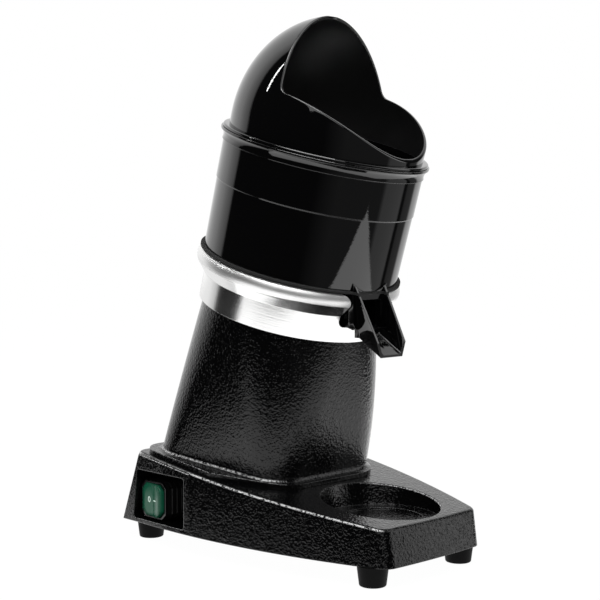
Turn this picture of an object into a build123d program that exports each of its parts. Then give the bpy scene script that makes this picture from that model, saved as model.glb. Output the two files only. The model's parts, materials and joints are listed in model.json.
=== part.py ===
"""Electric citrus juicer: glass recess in the base, leaning motor column, bowl with spout, splash hood.

Millimetres, +Z up, the spout looks along -Y. The origin is on the table under the middle of the base.
"""
import os
from math import atan2, cos, degrees, radians, sin, sqrt, tan

from build123d import *

# Fits
running_fit = 0.05
press_fit = 0.02
screw_fit = 0.1
lift_fit = 0.4
seat_gap = 0.3

# Bowl axis, which leans forward over the glass
axis_lean = 17.0
axis_foot_y = 78.0

# Base casting
base_length = 275.0
base_half_width = 89.0
base_widest_y = 66.0
side_radius = 580.0
front_bow = 2.0
base_corner = 11.0
base_wall = 5.0
front_draft = 9.0
rear_draft = 18.0
side_draft = 2.0
deck_slope = 7.2
deck_height = 49.0
deck_edge = 3.0
blank_height = 75.0

# Glass recess in the deck
recess_setback = 56.0
recess_radius = 46.0
recess_floor_radius = 43.5
recess_floor = 37.0
recess_edge = 1.5
saucer_radius = 31.0
saucer_depth = 1.5

# Rubber feet and bottom cover
foot_height = 15.0
foot_top_radius = 11.8
foot_bottom_radius = 9.9
foot_edge = 1.2
front_foot_setback = 20.2
front_foot_inset = 10.3
rear_foot_setback = 22.5
rear_foot_inset = 16.5
foot_boss_radius = 10.0
cover_thickness = 2.0
cover_gap = 1.0
screw_radius = 2.2
screw_head_radius = 4.2
screw_head_height = 2.6
foot_screw_depth = 12.0
foot_screw_seat = 7.0
foot_well_gap = 0.8

# Switch pocket in the left side wall
pocket_setback = 54.5
pocket_length = 66.0
pocket_low = 18.5
pocket_height = 41.0
pocket_slant = 5.0
pocket_depth = 31.0
pocket_wall = 3.0
pocket_corner = 2.5
frame_inset = 0.6
frame_width = 6.5
frame_drop = 1.0
frame_rear_inset = 6.5
frame_rear_draft = 21.0
frame_depth = 6.0
frame_edge = 1.0

# Rocker switch
switch_offset = 12.8
switch_z = 35.0
bezel_length = 31.6
bezel_height = 31.2
bezel_thickness = 2.0
bezel_depth = 6.0
bezel_edge = 0.5
rocker_length = 26.6
rocker_height = 27.0
rocker_corner = 5.0
rocker_end_gap = 1.2
rocker_side_gap = 0.4
rocker_rise = 6.8
rocker_dip = 1.6
rocker_tilt = -8.0
rocker_pivot_depth = 10.4
rocker_barrel = 5.0
trunnion_radius = 1.5
trunnion_reach = 1.4
body_length = 31.2
body_height = 30.8
body_cavity_depth = 11.0
body_rib = 0.6
body_rib_pitch = 5.0
body_ribs = 3

# Cord inlet in the rear wall
inlet_x = 45.0
inlet_z = 32.0
grommet_bore = 4.0
grommet_neck = 6.5
grommet_flange = 9.0
grommet_flange_thickness = 2.0

# Motor column
column_y = 48.0
column_wall = 5.0
foot_front_half = 55.5
foot_rear_half = 82.0
foot_front = -73.0
foot_rear = 63.5
foot_corner = 28.0
column_top_radius = 70.2
column_top_corner = 66.4
column_belly = 1.02
column_top_plate = 6.0
column_top_opening = 56.0
column_opening = 44.0
column_flare = 4.0
plinth_height = 4.0
plinth_front_half = 50.0
plinth_half = 81.5
plinth_front = -78.5
plinth_shoulder = -20.0
plinth_rear_half = 82.5
plinth_rear = 67.5
plinth_front_corner = 30.0
plinth_corner = 20.0
column_boss_radius = 7.0
column_boss_height = 16.0
column_screw_front = (42.0, -40.0)
column_screw_rear = (46.0, 46.0)
column_screw_depth = 14.0

# Collar ring, heights are measured along the bowl axis
collar_low = 200.0
collar_height = 40.5
band_radius = 75.5
band_height = 21.0
flare_height = 8.0
flare_radius = 81.4
bead_radius = 83.5
bead_height = 35.0
collar_lip_radius = 80.3
collar_inner = 70.2
collar_web = 5.0
seal_boss_radius = 18.0
seal_boss_height = 11.0
notch_half = 20.0
notch_low = 12.5
notch_corner = 5.0
notch_round = 8.0
collar_screw_circle = 60.5
collar_boss_radius = 6.5
collar_boss_height = 14.0
collar_screw_depth = 12.0

# Motor
shaft_radius = 6.0
stator_radius = 52.0
stator_bore = 29.5
stator_length = 48.0
stator_slots = 18
stator_slot_depth = 14.0
stator_slot_width = 4.0
air_gap = 0.5
bell_height = 24.0
bell_wall = 4.0
bearing_radius = 16.0
bearing_width = 10.0
bearing_groove = 0.8
bearing_stand = 1.5
winding_inner = 31.0
winding_outer = 41.5
winding_height = 14.0
bolt_radius = 2.0
bolt_circle = 47.0
bolt_lug_radius = 4.5
bolt_head_radius = 3.6
bolt_head_height = 2.5
bolt_thread = 4.0
fan_radius = 40.0
fan_height = 12.0
fan_disc = 2.0
fan_hub_radius = 12.0
fan_blades = 9
fan_blade = 1.6
fan_stand = 6.0
shaft_tail = 5.0
shaft_chamfer = 1.0
rotor_step = 2.0
seal_groove = 1.5
seal_radius = 13.0
seal_height = 7.0
slinger_radius = 12.0
slinger_thickness = 2.0
slinger_height = 16.0

# Run capacitor and terminal block in the base
capacitor_radius = 15.0
capacitor_length = 60.0
capacitor_gap = 11.5
capacitor_stud = 4.0
capacitor_edge = 1.5
clip_band = 1.2
clip_width = 12.0
clip_foot = 44.0
terminal_x = 30.0
terminal_y = 45.0
terminal_length = 46.0
terminal_width = 20.0
terminal_height = 17.0
terminal_wells = 4
terminal_well_radius = 3.0
terminal_well_depth = 9.0

# Juice bowl
gasket_thickness = 0.8
gasket_inner = 71.0
bowl_depth = 27.0
bowl_floor = 2.5
bowl_socket_wall = 2.5
bowl_flange_radius = 82.3
bowl_flange = 1.6
bowl_shoulder_rise = 4.8
bowl_radius_low = 79.3
bowl_radius_mid = 79.8
bowl_step = 0.6
bowl_radius_high = 80.5
bowl_wall_height = 95.6
bowl_step_height = 55.8
bowl_inner_radius = 77.0
rim_height = 9.5
rim_radius_low = 81.4
rim_radius_mid = 82.0
rim_mid_height = 5.6
rim_radius = 83.9
rim_lip = 1.8
rim_edge = 0.6
chimney_inner = 15.0
chimney_wall = 2.5
chimney_height = 44.5
outlet_half = 12.0
outlet_wall = 2.5
outlet_height = 21.0
outlet_top_gap = 0.3

# Spout
spout_reach = 82.6
plate_half = 19.0
plate_thickness = 5.0
plate_low = -2.1
plate_high = 32.8
plate_corner = 6.0
trough_wall = 2.0
trough_length = 22.1
trough_round = 2.5
trough_floor_half = 10.2
trough_root_half = 15.4
trough_tip_half = 14.0
trough_root_floor = -6.5
trough_root_high = 31.5
trough_tip_floor = -20.4
trough_tip_high = -11.1

# Strainer
strainer_floor = 2.5
strainer_wall = 2.0
strainer_height = 24.0
strainer_collar_wall = 2.0
strainer_collar_height = 7.0
strainer_slots = 30
slot_width = 3.0
slot_inner = 27.0
slot_outer = 66.0

# Reamer
reamer_low = 4.5
reamer_skirt_radius = 41.0
reamer_skirt_height = 7.0
reamer_core_radius = 33.0
reamer_height = 90.0
reamer_tip_radius = 4.0
reamer_bulge = 0.82
rib_count = 10
rib_depth = 3.0
rib_width = 2.6
rib_tip_radius = 6.5
rib_tip_drop = 1.0
reamer_tip_edge = 2.0
reamer_cavity_radius = 23.0
reamer_socket_depth = 27.0
drive_pin_radius = 2.0
drive_pin_length = 25.0
drive_pin_stand = 8.0
shaft_top_stand = 24.0
reamer_fit = 0.3

# Splash hood
hood_radius = 78.0
hood_wall = 2.5
hood_flange_radius = 82.6
hood_flange = 2.5
hood_skirt_depth = 6.5
hood_straight = 11.0
hood_dome = 89.6
hood_turn = 11.5
mouth_corner_rear = 1.5
mouth_corner_height = 40.0
mouth_back_angle = 16.2
mouth_mid_front = 40.0
mouth_mid_height = 30.5
mouth_lip_height = 4.2
mouth_overrun = 2.0
mouth_fillet = 8.0

# Planes and axes
quarter_turn = 90
lean = radians(axis_lean)
across = Vector(1, 0, 0)
axis_dir = Vector(0, -sin(lean), cos(lean))
axis_rear = Vector(0, cos(lean), sin(lean))
axis_foot = Vector(0, axis_foot_y, 0)
bowl_axis = Axis(axis_foot, axis_dir)
level = Plane(axis_foot, x_dir=across, z_dir=axis_dir)
half_section = Plane(axis_foot, x_dir=across, z_dir=-axis_rear)
side_section = Plane(axis_foot, x_dir=axis_rear, z_dir=across)
turn = radians(hood_turn)
hood_across = across * cos(turn) + axis_rear * sin(turn)
hood_rear = axis_rear * cos(turn) - across * sin(turn)
hood_half = Plane(axis_foot, x_dir=hood_across, z_dir=-hood_rear)
hood_section = Plane(axis_foot, x_dir=hood_rear, z_dir=hood_across)
slope = radians(deck_slope)
recess_y = recess_setback - base_length / 2
deck_normal = Vector(0, -sin(slope), cos(slope))
deck = Plane((0, recess_y, deck_height), x_dir=across, z_dir=deck_normal)
table = Plane.XY
base_bottom = Plane.XY.offset(foot_height)

# Heights along the bowl axis that several pieces share
collar_high = collar_low + collar_height
web_high = collar_low + collar_web
flange_low = collar_high + gasket_thickness
flange_high = flange_low + bowl_flange
bowl_low = collar_high - bowl_depth
bowl_inside = bowl_low + bowl_floor
rim_high = flange_high + bowl_wall_height
bowl_shoulder = flange_high + bowl_shoulder_rise
chimney_high = bowl_low + chimney_height
chimney_outer = chimney_inner + chimney_wall
bell_high = collar_low
stator_high = bell_high - bell_height
stator_low = stator_high - stator_length
bell_low = stator_low - bell_height
fan_high = bell_low - fan_stand
fan_low = fan_high - fan_height
shaft_low = fan_low - shaft_tail
strainer_low = bowl_shoulder
reamer_bottom = strainer_low + reamer_low
pin_height = chimney_high + drive_pin_stand
shaft_high = chimney_high + shaft_top_stand


def half_width(y):
    """Half width of the base at its lower edge."""
    return base_half_width - side_radius + sqrt(side_radius**2 - (y - base_widest_y) ** 2)


def deck_z(y):
    """Height of the sloping deck."""
    return deck_height + tan(slope) * (y - recess_y)


def base_outline(front, rear, inset, corner):
    """Boat-shaped outline with a bowed front, a straight rear and rounded corners."""
    middle = (front + rear) / 2
    front_half = half_width(front) - inset
    middle_half = half_width(middle) - inset
    rear_half = half_width(rear) - inset
    with BuildSketch(mode=Mode.PRIVATE) as outline:
        with BuildLine():
            ThreePointArc((-front_half, front), (0, front - front_bow), (front_half, front))
            ThreePointArc((front_half, front), (middle_half, middle), (rear_half, rear))
            Line((rear_half, rear), (-rear_half, rear))
            ThreePointArc((-rear_half, rear), (-middle_half, middle), (-front_half, front))
        make_face()
        fillet(outline.vertices(), corner)
    return outline.sketch


def base_level(rise, inset, corner):
    """Outline of the drafted base walls at a rise over the lower edge, moved in by inset."""
    front = front_bow - base_length / 2 + rise * tan(radians(front_draft)) + inset
    rear = base_length / 2 - rise * tan(radians(rear_draft)) - inset
    return base_outline(front, rear, rise * tan(radians(side_draft)) + inset, corner)


def column_section(front_half, rear_half, front, rear, corner, inset):
    """Rounded trapezoid with its narrow end at the front, moved in by inset."""
    with BuildSketch(mode=Mode.PRIVATE) as section:
        with BuildLine():
            Polyline(
                (inset - front_half, front + inset),
                (front_half - inset, front + inset),
                (rear_half - inset, rear - inset),
                (inset - rear_half, rear - inset),
                close=True,
            )
        make_face()
        fillet(section.vertices(), corner - inset)
    return section.sketch


def between(low, high):
    """Middle of two sizes, swelled for the belly of the column."""
    return column_belly * (low + high) / 2


def half_ring(inner, outer, low, high):
    """Half section of a ring, added to the sketch that is open."""
    with Locations((inner, low)):
        Rectangle(outer - inner, high - low, align=(Align.MIN, Align.MIN))


def around(count):
    """Half-section planes at count even places about the bowl axis."""
    turns = [radians(360 * place / count) for place in range(count)]
    return [
        Plane(
            axis_foot,
            x_dir=across * cos(angle) + axis_rear * sin(angle),
            z_dir=across * sin(angle) - axis_rear * cos(angle),
        )
        for angle in turns
    ]


front_foot_y = front_foot_setback - base_length / 2
front_foot_x = half_width(front_foot_y) - front_foot_inset
rear_foot_y = base_length / 2 - rear_foot_setback
rear_foot_x = half_width(rear_foot_y) - rear_foot_inset
foot_places = [
    ("front_left", -front_foot_x, front_foot_y),
    ("front_right", front_foot_x, front_foot_y),
    ("rear_left", -rear_foot_x, rear_foot_y),
    ("rear_right", rear_foot_x, rear_foot_y),
]
foot_points = [(x, y) for _, x, y in foot_places]
column_points = [
    (side * x, y) for side in (-1, 1) for x, y in (column_screw_front, column_screw_rear)
]
seat = Plane((0, column_y, deck_z(column_y)), x_dir=across, z_dir=deck_normal)
column_foot = seat.offset(plinth_height)
column_top = level.offset(collar_low)
column_middle = Plane(
    (column_foot.origin + column_top.origin) / 2,
    x_dir=across,
    z_dir=(deck_normal + axis_dir).normalized(),
)
foot_reach = (column_foot.origin - axis_foot).dot(deck_normal) / axis_dir.dot(deck_normal)
opening_centre = column_foot.to_local_coords(axis_foot + axis_dir * foot_reach)
rear_lean = radians(rear_draft)
rear_normal = Vector(0, cos(rear_lean), sin(rear_lean))
inlet_y = base_length / 2 - (inlet_z - foot_height) * tan(rear_lean)
inlet = Plane((inlet_x, inlet_y, inlet_z), x_dir=across, z_dir=rear_normal)
rear_wall = base_wall * cos(rear_lean)
cover_high = foot_height + cover_thickness
pocket_y = base_length / 2 - pocket_setback
pocket_floor_x = pocket_depth - base_half_width
pocket_high = pocket_low + pocket_height
pocket_front = pocket_y - pocket_length / 2
pocket_rear = pocket_y + pocket_length / 2
frame_front = pocket_front - frame_width
frame_rear = base_length / 2 - frame_rear_inset
frame_top = deck_z(frame_front) - frame_drop
frame_slant = tan(radians(frame_rear_draft))
frame_fall = (deck_z(frame_rear) - frame_drop - foot_height) / (1 + frame_slant * tan(slope))
switch_y = pocket_y + switch_offset
bezel_face_x = bezel_depth - base_half_width
rocker_pivot_x = rocker_pivot_depth - base_half_width
pieces = {}

# Base casting: drafted walls cut off by the sloping deck, hollow from below
with BuildPart() as base_cavity:
    with BuildSketch(base_bottom):
        add(base_level(0, base_wall, base_corner - base_wall))
    with BuildSketch(base_bottom.offset(blank_height)):
        add(base_level(blank_height, base_wall, base_corner - base_wall))
    loft(ruled=True)
    split(bisect_by=deck.offset(-base_wall), keep=Keep.BOTTOM)
    with BuildSketch(table.offset(recess_floor - base_wall)):
        with Locations((0, recess_y)):
            Circle(recess_radius + base_wall)
    extrude(amount=blank_height, mode=Mode.SUBTRACT)
    with BuildSketch(table.offset(cover_high)):
        with Locations(*foot_points):
            Circle(foot_boss_radius)
    extrude(amount=blank_height, mode=Mode.SUBTRACT)
    with BuildSketch(base_bottom):
        with Locations((pocket_floor_x + pocket_wall, pocket_y)):
            Rectangle(
                base_half_width,
                pocket_length + 2 * pocket_wall,
                align=(Align.MAX, Align.CENTER),
            )
    extrude(amount=pocket_high + pocket_wall - foot_height, mode=Mode.SUBTRACT)

with BuildPart() as pocket_frame:
    with BuildSketch(Plane.YZ.offset(frame_inset - base_half_width)):
        Polygon(
            (frame_front, foot_height),
            (frame_rear, foot_height),
            (frame_rear - frame_fall * frame_slant, foot_height + frame_fall),
            (frame_front, frame_top),
            align=None,
        )
    extrude(amount=frame_depth)
    fillet(pocket_frame.faces().sort_by(Axis.X)[0].edges(), frame_edge)

with BuildPart() as base_casting:
    with BuildSketch(base_bottom):
        add(base_level(0, 0, base_corner))
    with BuildSketch(base_bottom.offset(blank_height)):
        add(base_level(blank_height, 0, base_corner))
    loft(ruled=True)
    split(bisect_by=deck, keep=Keep.BOTTOM)
    fillet(base_casting.faces().sort_by(Axis((0, 0, 0), deck_normal))[-1].edges(), deck_edge)
    add(pocket_frame.part)
    add(base_cavity.part, mode=Mode.SUBTRACT)
    with BuildSketch(table.offset(recess_floor)):
        with Locations((0, recess_y)):
            Circle(recess_floor_radius)
    extrude(
        amount=blank_height - recess_floor,
        taper=-degrees(atan2(recess_radius - recess_floor_radius, deck_height - recess_floor)),
        mode=Mode.SUBTRACT,
    )
    rim = base_casting.edges().filter_by(GeomType.ELLIPSE).sort_by(SortBy.LENGTH)[-1]
    fillet(rim, recess_edge)
    with BuildSketch(table.offset(recess_floor)):
        with Locations((0, recess_y)):
            Circle(saucer_radius)
    extrude(amount=-saucer_depth, mode=Mode.SUBTRACT)
    with BuildSketch(Plane.YZ.offset(pocket_floor_x)) as pocket:
        Polygon(
            (pocket_front, pocket_low),
            (pocket_rear, pocket_low),
            (pocket_rear - pocket_slant, pocket_high),
            (pocket_front, pocket_high),
            align=None,
        )
        fillet(pocket.vertices(), pocket_corner)
    extrude(amount=-base_half_width, mode=Mode.SUBTRACT)
    with BuildSketch(seat):
        with Locations(opening_centre):
            Circle(column_opening)
        with Locations(*column_points):
            Circle(screw_radius + screw_fit)
    extrude(amount=-2 * base_wall, mode=Mode.SUBTRACT)
    with BuildSketch(base_bottom):
        with Locations(*foot_points):
            Circle(screw_radius + screw_fit)
    extrude(amount=foot_screw_depth + cover_thickness, mode=Mode.SUBTRACT)
    with BuildSketch(inlet):
        Circle(grommet_neck + screw_fit)
    extrude(amount=-2 * base_wall, mode=Mode.SUBTRACT)
pieces["base_casting"] = base_casting.part

# Bottom cover, which the feet hold against the bosses
with BuildPart() as bottom_cover:
    with BuildSketch(base_bottom):
        add(base_level(0, base_wall + cover_gap, base_corner - base_wall - cover_gap))
        with Locations((pocket_floor_x + pocket_wall + cover_gap, pocket_y)):
            Rectangle(
                base_half_width,
                pocket_length + 2 * (pocket_wall + cover_gap),
                align=(Align.MAX, Align.CENTER),
                mode=Mode.SUBTRACT,
            )
        with Locations(*foot_points):
            Circle(screw_radius + screw_fit, mode=Mode.SUBTRACT)
    extrude(amount=cover_thickness)
pieces["bottom_cover"] = bottom_cover.part

# Rubber feet, each with a well for its screw
for place, x, y in foot_places:
    with BuildPart() as foot:
        with BuildSketch(table):
            with Locations((x, y)):
                Circle(foot_bottom_radius)
        with BuildSketch(base_bottom):
            with Locations((x, y)):
                Circle(foot_top_radius)
        loft()
        fillet(foot.edges().group_by(Axis.Z)[0], foot_edge)
        with BuildSketch(table):
            with Locations((x, y)):
                Circle(screw_head_radius + foot_well_gap)
        extrude(amount=foot_screw_seat, mode=Mode.SUBTRACT)
        with BuildSketch(table):
            with Locations((x, y)):
                Circle(screw_radius + screw_fit)
        extrude(amount=foot_height, mode=Mode.SUBTRACT)
    pieces["foot_" + place] = foot.part

with BuildPart() as foot_screws:
    with BuildSketch(table.offset(foot_screw_seat)):
        with Locations(*foot_points):
            Circle(screw_radius)
    extrude(amount=foot_height + foot_screw_depth - foot_screw_seat)
    with BuildSketch(table.offset(foot_screw_seat)):
        with Locations(*foot_points):
            Circle(screw_head_radius)
    extrude(amount=-screw_head_height)
pieces["foot_screws"] = foot_screws.part

# Cord inlet: rubber grommet square to the rear wall
with BuildPart() as cord_grommet:
    with BuildSketch(inlet):
        Circle(grommet_flange)
    extrude(amount=grommet_flange_thickness)
    fillet(cord_grommet.edges().sort_by(Axis(inlet.origin, rear_normal))[-1], foot_edge)
    with BuildSketch(inlet):
        Circle(grommet_neck)
    extrude(amount=-rear_wall)
    with BuildSketch(inlet.offset(-rear_wall)):
        Circle(grommet_flange)
    extrude(amount=-grommet_flange_thickness)
    with BuildSketch(inlet.offset(grommet_flange_thickness)):
        Circle(grommet_bore)
    extrude(amount=-rear_wall - 2 * grommet_flange_thickness, mode=Mode.SUBTRACT)
pieces["cord_grommet"] = cord_grommet.part

# Motor column: rounded trapezoid at the foot, near round under the collar
column_sections = [
    (column_foot, (foot_front_half, foot_rear_half, foot_front, foot_rear, foot_corner)),
    (
        column_middle,
        (
            between(foot_front_half, column_top_radius),
            between(foot_rear_half, column_top_radius),
            between(foot_front, -column_top_radius),
            between(foot_rear, column_top_radius),
            between(foot_corner, column_top_corner),
        ),
    ),
    (
        column_top,
        (
            column_top_radius,
            column_top_radius,
            -column_top_radius,
            column_top_radius,
            column_top_corner,
        ),
    ),
]
with BuildPart() as column_cavity:
    for plane, sizes in column_sections:
        with BuildSketch(plane):
            add(column_section(*sizes, column_wall))
    loft()
    split(bisect_by=column_top.offset(-column_top_plate), keep=Keep.BOTTOM)

with BuildPart() as motor_column:
    for plane, sizes in column_sections:
        with BuildSketch(plane):
            add(column_section(*sizes, 0))
    loft()
    with BuildSketch(seat) as plinth:
        Polygon(
            (-plinth_front_half, plinth_front),
            (plinth_front_half, plinth_front),
            (plinth_half, plinth_shoulder),
            (plinth_rear_half, plinth_rear),
            (-plinth_rear_half, plinth_rear),
            (-plinth_half, plinth_shoulder),
            align=None,
        )
        fillet(plinth.vertices().group_by(Axis.Y)[0], plinth_front_corner)
        fillet(plinth.vertices().group_by(Axis.Y)[-1], plinth_corner)
    extrude(amount=plinth_height)
    step = motor_column.faces().filter_by(Axis((0, 0, 0), deck_normal))
    step = step.sort_by(Axis((0, 0, 0), deck_normal))[-1]
    fillet(step.inner_wires()[0].edges(), column_flare)
    add(column_cavity.part, mode=Mode.SUBTRACT)
    with BuildSketch(seat):
        with Locations(*column_points):
            Circle(column_boss_radius)
    extrude(amount=plinth_height + column_boss_height)
    with BuildSketch(column_top):
        with PolarLocations(collar_screw_circle, 4, start_angle=45):
            Circle(collar_boss_radius)
    extrude(amount=-collar_boss_height)
    with BuildSketch(seat):
        with Locations(*column_points):
            Circle(screw_radius + screw_fit)
    extrude(amount=column_screw_depth, mode=Mode.SUBTRACT)
    with BuildSketch(seat):
        with Locations(opening_centre):
            Circle(column_opening)
    extrude(amount=2 * plinth_height, mode=Mode.SUBTRACT)
    with BuildSketch(column_top):
        Circle(column_top_opening)
    extrude(amount=-column_top_plate, mode=Mode.SUBTRACT)
    with BuildSketch(column_top):
        with PolarLocations(collar_screw_circle, 4, start_angle=45):
            Circle(screw_radius + screw_fit)
    extrude(amount=-collar_screw_depth, mode=Mode.SUBTRACT)
pieces["motor_column"] = motor_column.part

with BuildPart() as column_screws:
    with BuildSketch(seat.offset(-base_wall)):
        with Locations(*column_points):
            Circle(screw_radius)
    extrude(amount=base_wall + column_screw_depth - screw_head_height)
    with BuildSketch(seat.offset(-base_wall)):
        with Locations(*column_points):
            Circle(screw_head_radius)
    extrude(amount=-screw_head_height)
pieces["column_screws"] = column_screws.part

# Collar ring: polished cup with a rolled bead and a notch for the spout
shaft_hole = shaft_radius + bearing_stand
seal_low = collar_low + seal_boss_height - seal_height
with BuildPart() as collar_ring:
    with BuildSketch(half_section):
        with BuildLine():
            Polyline(
                (shaft_hole, collar_low),
                (band_radius, collar_low),
                (band_radius, collar_low + band_height),
                (flare_radius, collar_low + band_height + flare_height),
            )
            ThreePointArc(
                (flare_radius, collar_low + band_height + flare_height),
                (bead_radius, collar_low + bead_height),
                (collar_lip_radius, collar_high),
            )
            Polyline(
                (collar_lip_radius, collar_high),
                (collar_inner, collar_high),
                (collar_inner, web_high),
                (seal_boss_radius, web_high),
                (seal_boss_radius, collar_low + seal_boss_height),
                (seal_radius + press_fit, collar_low + seal_boss_height),
                (seal_radius + press_fit, seal_low),
                (shaft_hole, seal_low),
                (shaft_hole, collar_low),
            )
        make_face()
    revolve(axis=bowl_axis)
    with BuildSketch(half_section.offset(seal_boss_radius)) as notch:
        with Locations((0, collar_low + notch_low)):
            Rectangle(2 * notch_half, bowl_depth + collar_height, align=(Align.CENTER, Align.MIN))
        fillet(notch.vertices().group_by(Axis.Y)[0], notch_corner)
        with Locations((0, collar_high)):
            Rectangle(2 * (notch_half + notch_round), 2 * notch_round)
        with Locations((0, collar_high - notch_round)):
            with GridLocations(2 * (notch_half + notch_round), 0, 2, 1):
                Circle(notch_round, mode=Mode.SUBTRACT)
    extrude(amount=2 * bead_radius, mode=Mode.SUBTRACT)
    with BuildSketch(column_top):
        with PolarLocations(collar_screw_circle, 4, start_angle=45):
            Circle(screw_radius + screw_fit)
    extrude(amount=2 * collar_web, mode=Mode.SUBTRACT)
    with BuildSketch(column_top):
        with PolarLocations(bolt_circle, 4):
            Circle(bolt_radius + screw_fit)
    extrude(amount=bolt_thread + seat_gap, mode=Mode.SUBTRACT)
pieces["collar_ring"] = collar_ring.part

with BuildPart() as collar_screws:
    with BuildSketch(level.offset(web_high)):
        with PolarLocations(collar_screw_circle, 4, start_angle=45):
            Circle(screw_radius)
    extrude(amount=screw_head_height - collar_web - collar_screw_depth)
    with BuildSketch(level.offset(web_high)):
        with PolarLocations(collar_screw_circle, 4, start_angle=45):
            Circle(screw_head_radius)
    extrude(amount=screw_head_height)
pieces["collar_screws"] = collar_screws.part

# Motor: end bells with bearings, stator and windings held by four through bolts
lug_planes = [level.offset(height) for height in (bell_low, stator_high)]
bell_floors = [(bell_low, 1), (bell_high, -1)]
bell_names = ["lower", "upper"]
housing_radius = bearing_radius + bell_wall
for bell_name, lug_plane, (floor, way) in zip(bell_names, lug_planes, bell_floors):
    with BuildPart() as end_bell:
        with BuildSketch(half_section):
            Polygon(
                (shaft_hole, floor),
                (stator_radius, floor),
                (stator_radius, floor + way * bell_height),
                (stator_radius - bell_wall, floor + way * bell_height),
                (stator_radius - bell_wall, floor + way * bell_wall),
                (housing_radius, floor + way * bell_wall),
                (housing_radius, floor + way * (bearing_stand + bearing_width)),
                (bearing_radius + press_fit, floor + way * (bearing_stand + bearing_width)),
                (bearing_radius + press_fit, floor + way * bearing_stand),
                (shaft_hole, floor + way * bearing_stand),
                align=None,
            )
        revolve(axis=bowl_axis)
        with BuildSketch(lug_plane):
            with PolarLocations(bolt_circle, 4):
                Circle(bolt_lug_radius)
        extrude(amount=bell_height)
        with BuildSketch(lug_plane):
            with PolarLocations(bolt_circle, 4):
                Circle(bolt_radius + screw_fit)
        extrude(amount=bell_height, mode=Mode.SUBTRACT)
    pieces[bell_name + "_end_bell"] = end_bell.part
    with BuildPart() as bearing:
        with BuildSketch(half_section) as race:
            low = min(floor + way * bearing_stand, floor + way * (bearing_stand + bearing_width))
            half_ring(shaft_radius + running_fit, bearing_radius, low, low + bearing_width)
            groove = (shaft_radius + bearing_radius) / 2
            with Locations((groove, low), (groove, low + bearing_width)):
                Rectangle(bearing_width / 4, 2 * bearing_groove, mode=Mode.SUBTRACT)
        revolve(axis=bowl_axis)
    pieces[bell_name + "_bearing"] = bearing.part
    with BuildPart() as winding:
        with BuildSketch(half_section) as coil:
            low = min(floor + way * bell_height, floor + way * (bell_height - winding_height))
            half_ring(winding_inner, winding_outer, low, low + winding_height)
            fillet(coil.vertices(), bell_wall)
        revolve(axis=bowl_axis)
    pieces[bell_name + "_winding"] = winding.part

with BuildPart() as stator_core:
    with BuildSketch(level.offset(stator_low)):
        Circle(stator_radius)
        Circle(stator_bore, mode=Mode.SUBTRACT)
        with PolarLocations(stator_bore, stator_slots):
            Rectangle(stator_slot_depth, stator_slot_width, mode=Mode.SUBTRACT)
        with PolarLocations(bolt_circle, 4):
            Circle(bolt_radius + screw_fit, mode=Mode.SUBTRACT)
    extrude(amount=stator_length)
pieces["stator_core"] = stator_core.part

with BuildPart() as motor_bolts:
    with BuildSketch(level.offset(bell_low)):
        with PolarLocations(bolt_circle, 4):
            Circle(bolt_radius)
    extrude(amount=collar_low + bolt_thread - bell_low)
    with BuildSketch(level.offset(bell_low)):
        with PolarLocations(bolt_circle, 4):
            Circle(bolt_head_radius)
    extrude(amount=-bolt_head_height)
pieces["motor_bolts"] = motor_bolts.part

# Rotor: shaft with its core, fan, slinger and drive pin
with BuildPart() as motor_shaft:
    with BuildSketch(level.offset(shaft_low)):
        Circle(shaft_radius)
    extrude(amount=shaft_high - shaft_low)
    chamfer(motor_shaft.edges().sort_by(Axis(axis_foot, axis_dir))[-1], shaft_chamfer)
    with BuildSketch(side_section.offset(-shaft_radius)):
        with Locations((0, pin_height)):
            Circle(drive_pin_radius + press_fit)
    extrude(amount=2 * shaft_radius, mode=Mode.SUBTRACT)
pieces["motor_shaft"] = motor_shaft.part

with BuildPart() as rotor_core:
    with BuildSketch(half_section):
        half_ring(shaft_radius + press_fit, stator_bore - air_gap, stator_low, stator_high)
        with Locations((stator_bore - air_gap, stator_low), (stator_bore - air_gap, stator_high)):
            Rectangle(rotor_step, rotor_step, mode=Mode.SUBTRACT)
    revolve(axis=bowl_axis)
pieces["rotor_core"] = rotor_core.part

with BuildPart() as cooling_fan:
    with BuildSketch(half_section):
        half_ring(shaft_radius + press_fit, fan_hub_radius, fan_low, fan_high)
        half_ring(shaft_radius + press_fit, fan_radius, fan_low, fan_low + fan_disc)
    revolve(axis=bowl_axis)
    with BuildSketch(*around(fan_blades)):
        half_ring(fan_hub_radius - fan_blade, fan_radius - fan_blade, fan_low, fan_high)
    extrude(amount=fan_blade / 2, both=True)
pieces["cooling_fan"] = cooling_fan.part

with BuildPart() as shaft_seal:
    with BuildSketch(half_section):
        half_ring(shaft_radius + running_fit, seal_radius, seal_low, seal_low + seal_height)
        with Locations(((shaft_radius + seal_radius) / 2, seal_low + seal_height)):
            Rectangle(seal_groove, 2 * seal_groove, mode=Mode.SUBTRACT)
    revolve(axis=bowl_axis)
pieces["shaft_seal"] = shaft_seal.part

with BuildPart() as water_slinger:
    with BuildSketch(half_section):
        half_ring(
            shaft_radius + press_fit,
            slinger_radius,
            collar_low + slinger_height,
            collar_low + slinger_height + slinger_thickness,
        )
    revolve(axis=bowl_axis)
pieces["water_slinger"] = water_slinger.part

with BuildPart() as drive_pin:
    with BuildSketch(side_section.offset(-drive_pin_length / 2)):
        with Locations((0, pin_height)):
            Circle(drive_pin_radius)
    extrude(amount=drive_pin_length)
pieces["drive_pin"] = drive_pin.part

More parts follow.
